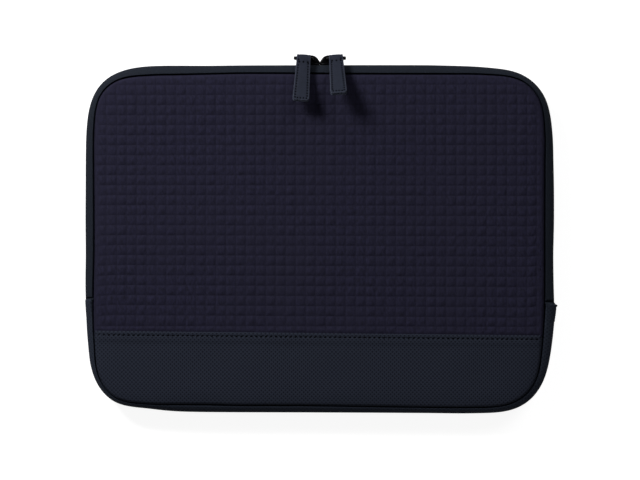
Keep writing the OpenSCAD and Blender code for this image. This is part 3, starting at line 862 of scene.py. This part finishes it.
def pressed_plate(steps):
    """A slider's plate, lofted through [margin, Z] steps of its outline."""
    length, nose, tail = 14.48, 4.8, 4.3
    lines = [plate_line(length - 2 * margin, nose - margin, tail - margin) for margin, _ in steps]
    table = np.stack([np.insert(line, 2, z, axis=1) for line, (_, z) in zip(lines, steps)], 1)
    return sealed(laid_sheet(table, round_columns=True))


def joined(parts, closed=True):
    """One bmesh of several, each with its faces turned outward where it is closed."""
    all_parts = bmesh.new()
    for part in parts:
        if closed:
            outward(part)
        mesh = mesh_of("part", part)
        all_parts.from_mesh(mesh)
        bpy.data.meshes.remove(mesh)
    return all_parts


def slider_casting():
    """Outer plate, inner plate, rails and post of a slider, nose to +X, outside to +Z."""
    gap, coil = 0.3, 0.75 + 2.3 + 0.3
    outer = pressed_plate([(0.45, 0.02), (0.12, 0.06), (0, gap + 0.1), (0, gap + 0.85),
                           (0.18, gap + 1.2), (0.55, gap + 1.4), (1.4, gap + 1.42),
                           (2.2, gap + 1.3)])
    inner = pressed_plate([(0.5, -coil), (0.1, -coil - 0.12), (0, -coil - 0.4),
                           (0, -coil - 0.8), (0.2, -coil - 1.1), (0.6, -coil - 1.2)])
    rails = []
    for hand in (-1, 1):
        rail = bmesh.new()
        bmesh.ops.create_cube(rail, size=1, matrix=Matrix.Translation(
            (0, hand * 3.8, (-coil - 1.0) / 2)) @ Matrix.Diagonal((10.4, 1.0, coil - 1.0, 1)))
        bmesh.ops.bevel(rail, geom=[*rail.edges], offset=0.25, segments=3, profile=0.5,
                        affect="EDGES", material=-1)
        rails.append(rail)
    post = bmesh.new()
    bmesh.ops.create_cone(post, cap_ends=True, segments=20, radius1=0.75, radius2=0.75,
                          depth=coil + gap, matrix=Matrix.Translation(
                              (4.3, 0, (gap - coil) / 2)) @ Matrix.Diagonal((1.9, 0.52, 1, 1)))
    return joined([outer, inner, *rails, post])


def slider_bridge():
    """The loop that holds the ring, cast with the outer plate, with a bored eye."""
    base, rise, span, half = 0.9, 7.8, 7.2, 1.3
    eye, bore_r = np.array([1.35, 4.5]), 0.955
    start = math.asin(4.4 / rise)
    arc = np.linspace(start, math.pi - start, 27)
    c = np.cos(arc)
    line = np.stack([span * np.sign(c) * np.abs(c) ** 0.8, rise * np.sin(arc)], 1)
    nose = np.array([(7.24, base), (7.24, 1.7), (7.24, 2.6), (7.15, 3.1), (6.7, 3.75)])
    line = np.vstack([nose, line, nose[::-1] * (-1, 1)])
    line = np.vstack([line, np.linspace(line[-1], line[0], 12)[1:-1]])

    def toward(place, goal, length):
        return place + length * unit(goal - place)

    bore, flare = toward(eye, line, bore_r), toward(eye, line, bore_r + 0.2)
    lean = toward(line, np.array([0.0, base + 2.2]), 0.3)
    rows = [(line, -half + 0.3), (line, half - 0.3), (lean, half), (flare, half),
            (bore, half - 0.2), (bore, 0.2 - half), (flare, -half), (lean, -half)]
    table = np.stack([np.insert(xz, 1, y, axis=1) for xz, y in rows], 1)
    return laid_sheet(table, True, True)


def ring_wire():
    """A ring of bent wire, its leg on X = 0, its bars across Y."""
    r, low, high = 1.2, -BAR_REACH, RING_LEN - BAR_REACH
    centres = [(-r, high - r, 0), (r - RING_W, high - r, 90), (r - RING_W, low + r, 180),
               (-r, low + r, 270)]
    spine = np.array([(cx + r * math.cos(a), cy + r * math.sin(a), 0)
                      for cx, cy, start in centres
                      for a in np.radians(start + np.linspace(0, 90, 9))])
    ring = laid_sheet(round_wire(spine, WIRE_R, 16, closed=True), True, True)
    for v in ring.verts:        # the free corner is cast fuller, to a blunt point
        near = math.exp(-((v.co.x + RING_W) ** 2 + (v.co.y - high) ** 2) / 2.2) * float(
            ease(-v.co.x, RING_W - 1.0, RING_W - 0.3))
        v.co.x -= 0.75 * near
        v.co.z += near * (0.45 * v.co.z - 0.4)
    return ring


PULL_LEN, PULL_TOP, PULL_END = 35.5, 10.2, 12.5
BEND_R = 1.97                   # of the leather's middle, round the bar
STITCH_MARGIN, CROSS_ROW = 1.75, -4.2   # stitches from the edge, and the row below the bar


def pull_half_width(y):
    """Half of a pull's width at a height y on it, with its free corners rounded."""
    t = (2.7 - y) / (2.7 + PULL_LEN)
    half = (PULL_TOP + (PULL_END - PULL_TOP) * t) / 2
    past = np.clip(2 - (y + PULL_LEN), 0, 2)
    return half - (2 - np.sqrt(np.clip(4 - past ** 2, 0, 4)))


def pull_rise(y):
    """How far a pull's leather lies from its mid plane: the bar spreads it at the top."""
    return 0.93 + (BEND_R - 0.93) * float(ease(y, -7.6, -0.3))


def pull_path():
    """Middle line of the folded strip: up the front, over the bar, down the back."""
    ys = np.concatenate([-PULL_LEN + np.array([0, 0.06, 0.2, 0.45, 0.8, 1.3, 2.0, 3.0]),
                         np.linspace(4.5 - PULL_LEN, -7, 24), np.linspace(-6.3, -0.6, 9)])
    front = [(y, pull_rise(y)) for y in ys]
    loop = [(BEND_R * math.sin(a), BEND_R * math.cos(a))
            for a in np.radians(np.linspace(4, 176, 15))]
    return np.array(front + loop + mirrored(front[::-1]))


def folded_pull():
    """Leather strip folded round the bar and sewn to itself, with pared, rounded edges."""
    path = pull_path()
    tangent = unit(np.gradient(path, axis=0))
    normal = np.stack([-tangent[:, 1], tangent[:, 0]], 1)
    if normal[0, 1] < 0:
        normal = -normal
    across = np.array([-1, -0.985, -0.95, -0.9, -0.84, -0.77, -0.71, -0.66, -0.6, -0.5, -0.25, 0])
    across = np.concatenate([across, -across[-2::-1]])
    half_width = pull_half_width(path[:, 0])[:, None]
    margin = half_width * (1 - np.abs(across))[None]
    end = np.minimum(path[:, 0] + PULL_LEN, 3)[:, None]
    round_side = quarter_round(margin, 0.45)
    half = np.where(path[:, :1] > -5, 0.73, 0.82) * quarter_round(end, 0.45) * round_side
    near_end = np.minimum(margin, end)
    sewn = (0.14 * np.exp(-((near_end - STITCH_MARGIN) / 0.5) ** 2)
            + 0.1 * np.exp(-((path[:, :1] - CROSS_ROW) / 0.4) ** 2))
    belly = 0.1 * ease(near_end, 1.5, 3.5)
    strip = joined([laid_sheet(np.stack([half_width * across, path[:, :1] + normal[:, :1] * shift,
                                         path[:, 1:] + normal[:, 1:] * shift], 2))
                    for shift in (half - sewn * round_side + belly, -half)])
    merged(strip, 0.02)
    for face in strip.faces:
        x, y, _ = face.calc_center_median()
        face.material_index = int(min(pull_half_width(y) - abs(x), y + PULL_LEN) < 0.5)
    return strip


def sewn_row(stitches, length, width, height):
    """One stitch for each place, way along the row and way out of the cloth."""
    row = bmesh.new()
    for place, way, top in stitches:
        way, top = Vector(way).normalized(), Vector(top).normalized()
        side = top.cross(way).normalized()
        turn = Matrix((way, side, way.cross(side))).transposed().to_4x4()
        bmesh.ops.create_uvsphere(row, u_segments=8, v_segments=6, radius=0.5,
                                  matrix=Matrix.Translation(place) @ turn
                                  @ Matrix.Diagonal((length, width, height, 1)))
    return row


def pull_stitches():
    """Stitches round the pull's edge, and a row below the bar."""
    side = [(STITCH_MARGIN - pull_half_width(y), y)
            for y in np.arange(-1.5, 2.5 - PULL_LEN, -0.1)]
    left = STITCH_MARGIN + 0.15 - pull_half_width(3 - PULL_LEN)
    line = np.array([*side, (left, 1.8 - PULL_LEN),
                     *((x, 1.65 - PULL_LEN) for x in np.arange(left, -left, 0.1)),
                     *((-x, y) for x, y in side[::-1])])
    length = run_of(line)
    stitches = []
    for at in np.arange(1.0, length[-1] - 0.5, 2.2):
        (x, y), behind, ahead = (
            np.array([np.interp(place, length, column) for column in line.T])
            for place in (at, at - 0.4, at + 0.4))
        if abs(y - CROSS_ROW) >= 1.1:
            rise = pull_rise(y) + 0.67
            stitches += [((x, y, face * rise), (*(ahead - behind), 0), (0, 0, face))
                         for face in (1, -1)]
    stitches += [((x, CROSS_ROW, face * 2.25), (1, 0, 0), (0, 0, face))
                 for x in (-3.2, 0, 3.2) for face in (1, -1)]
    return sewn_row(stitches, 1.3, 1.55, 0.7)


def sliders_rings_pulls():
    for hand, word, tilt in ((-1, "left", 22.5), (1, "right", 37.5)):
        mirror = Matrix.Diagonal((-hand, 1, 1, 1))
        lift = Matrix.Rotation(-RING_LIFT, 4, "Z")
        seat = mirror @ Matrix.Translation((-SLIDER_X, TOP_Y, MID_Z)) @ Matrix.Rotation(
            -math.pi / 2, 4, "X")
        ring_place = (mirror @ Matrix.Translation((-LEG_X, LEG_Y, MID_Z)) @ lift
                      @ Matrix.Rotation(math.pi / 2, 4, "X") @ Matrix.Diagonal((1, 1, -1, 1)))
        swing = (mirror @ Matrix.Translation((-LEG_X, LEG_Y, BAR_Z)) @ lift
                 @ Matrix.Translation((-RING_W / 2, 0, 0))
                 @ Matrix.Rotation(-math.radians(tilt), 4, "X"))
        for kind, form, part, place, material, is_node in (
                ("slider", "casting", slider_casting(), seat, LACQUER, True),
                ("slider", "bridge", slider_bridge(), seat, LACQUER, False),
                ("ring", "wire", ring_wire(), ring_place, LACQUER, True),
                ("pull", "strip", folded_pull(), swing, LEATHER, True),
                ("pull", "stitches", pull_stitches(), swing, DARK_THREAD, False)):
            bmesh.ops.transform(part, matrix=place, verts=part.verts)
            outward(part)
            made = piece(f"{kind}_{word}_{form}", part, material, f"{word}_{kind}",
                         (f"{kind}_{word}",) if is_node else (), sharp=50)
            if material is LEATHER:
                made.data.materials.append(CUT_LEATHER)


def band_stitches():
    """Topstitching along the lower panel's folded edge, 3.65 mm to a stitch."""
    stitches = []
    for x in np.arange(-164, 163, 3.65):
        y = BAND_Y + BAND_SLOPE * x - STITCH_DROP
        gap = inset_of(np.array([[x, y]]))[0][0]
        if gap >= 8:
            stitches.append(((x, y, MID_Z + float(crown_height(gap))),
                             (1, BAND_SLOPE + 0.45, 0), (0, 0, 1)))
    row = sewn_row(stitches, 2.4, 1.25, 1.25)
    piece("lower_cloth_stitches", row, DARK_THREAD, "back_shell")


embossed_front()
lower_front()
back_panel()
pads_and_linings()
zip_tapes()
zip_coils()
lower_wall()
zip_cuffs()
bindings()
sliders_rings_pulls()
band_stitches()
for stop in ("zip_stops_front", "zip_stops_rear"):
    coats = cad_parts[stop].data.materials
    coats.clear()
    coats.append(LACQUER)


# ---- floor, light and camera ----

def lamp(name, kind, direction, place=None, **settings):
    """A lamp that shines from a direction, 1.3 m away or at a place of its own."""
    light = bpy.data.lights.new(name, kind)
    for key, value in settings.items():
        setattr(light, key, value)
    holder = in_scene(name, light)
    holder.rotation_euler = Vector(direction).to_track_quat("Z", "Y").to_euler()
    holder.location = place or 1.3 * Vector(direction)
    return holder


def studio():
    floor = bmesh.new()
    bmesh.ops.create_grid(floor, x_segments=1, y_segments=1, size=3)
    sweep = in_scene("floor", mesh_of("floor", floor))
    sweep.location.z = -0.0003
    material, tree = blank("paper_sweep")
    path = add(tree, "LightPath", None, None)
    seen = add(tree, "Math", {0: path["Is Camera Ray"], 1: path["Is Glossy Ray"]},
               operation="MAXIMUM")
    matt = add(tree, "BsdfDiffuse", {"Color": (0.35, 0.35, 0.35, 1)})
    glow = add(tree, "Emission", {"Color": (1, 1, 1, 1), "Strength": 0.9})
    lit = add(tree, "AddShader", {0: matt, 1: glow})
    mixed = add(tree, "MixShader", {0: seen, 1: matt, 2: lit})
    add(tree, "OutputMaterial", {"Surface": mixed}, None)
    sweep.data.materials.append(material)

    world, tree = blank("studio", "worlds")
    air = add(tree, "Background", {"Color": (1, 1, 1, 1), "Strength": 0.08})
    add(tree, "OutputWorld", {"Surface": air}, None)
    bpy.context.scene.world = world

    lamp("key", "AREA", (-0.54, 0.61, 0.58), shape="DISK", size=0.42, energy=20.5)
    lamp("top_box", "SUN", (0.4, 0.68, 0.61), energy=1.0, angle=math.radians(26))
    lamp("front_fill", "SUN", (-0.25, -0.93, 0.27), energy=0.3, angle=math.radians(50))
    # The low strip passes over the closed sleeve, and lights the flap where it is raised.
    turn = math.radians(35)
    strip = lamp("low_strip", "AREA", (-math.sin(turn), -math.cos(turn), 0), (-0.4, -0.62, 0.14),
                 shape="RECTANGLE", size=0.5, size_y=0.13, spread=math.radians(12), energy=0.5)
    strip.visible_camera = False

    lens = bpy.data.cameras.new("camera")
    lens.sensor_width, lens.lens = 36, 113.0
    camera = in_scene("camera", lens)
    camera.location = (0.00007, -0.00086, 1.5155)           # straight above the middle
    bpy.context.scene.camera = camera
    bpy.context.scene.view_settings.view_transform = "Standard"


studio()
bpy.context.view_layer.update()
